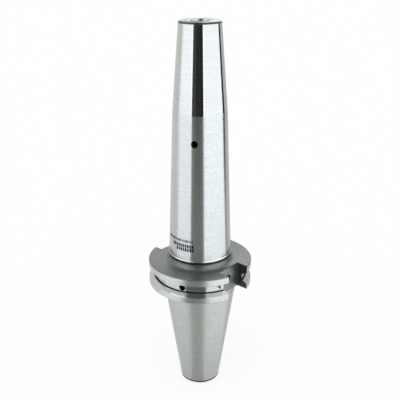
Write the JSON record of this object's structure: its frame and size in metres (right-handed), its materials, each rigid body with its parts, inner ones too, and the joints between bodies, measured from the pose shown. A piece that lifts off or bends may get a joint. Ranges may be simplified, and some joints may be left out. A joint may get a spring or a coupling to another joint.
{
  "type": "shrink fit tool holder",
  "caption": "Slim long shrink fit tool holder with a 7:24 spindle taper, a V-grooved flange with drive slots, a tapered ground body and a length stop screw in its stepped bore.",
  "frame": {"origin": "centre of the taper's small end, on the face that the holder stands on", "axes": "+Z along the holder's axis towards the nose, +X out of the deeper drive slot"},
  "size_m": [0.0614, 0.0636, 0.2282],
  "materials": {
    "ground_steel": "ground and polished tool steel, blasted dark on the flange face",
    "black_oxide_steel": "black oxide"
  },
  "bodies": {
    "holder": {"holder_body": "ground_steel"},
    "stop_screw": {"length_stop_screw": "black_oxide_steel"}
  },
  "joints": [
    {"name": "stop_screw_travel", "type": "slide", "parent": "holder", "child": "stop_screw", "axis": [0, 0, 1], "range_m": [0, 0.01]}
  ]
}
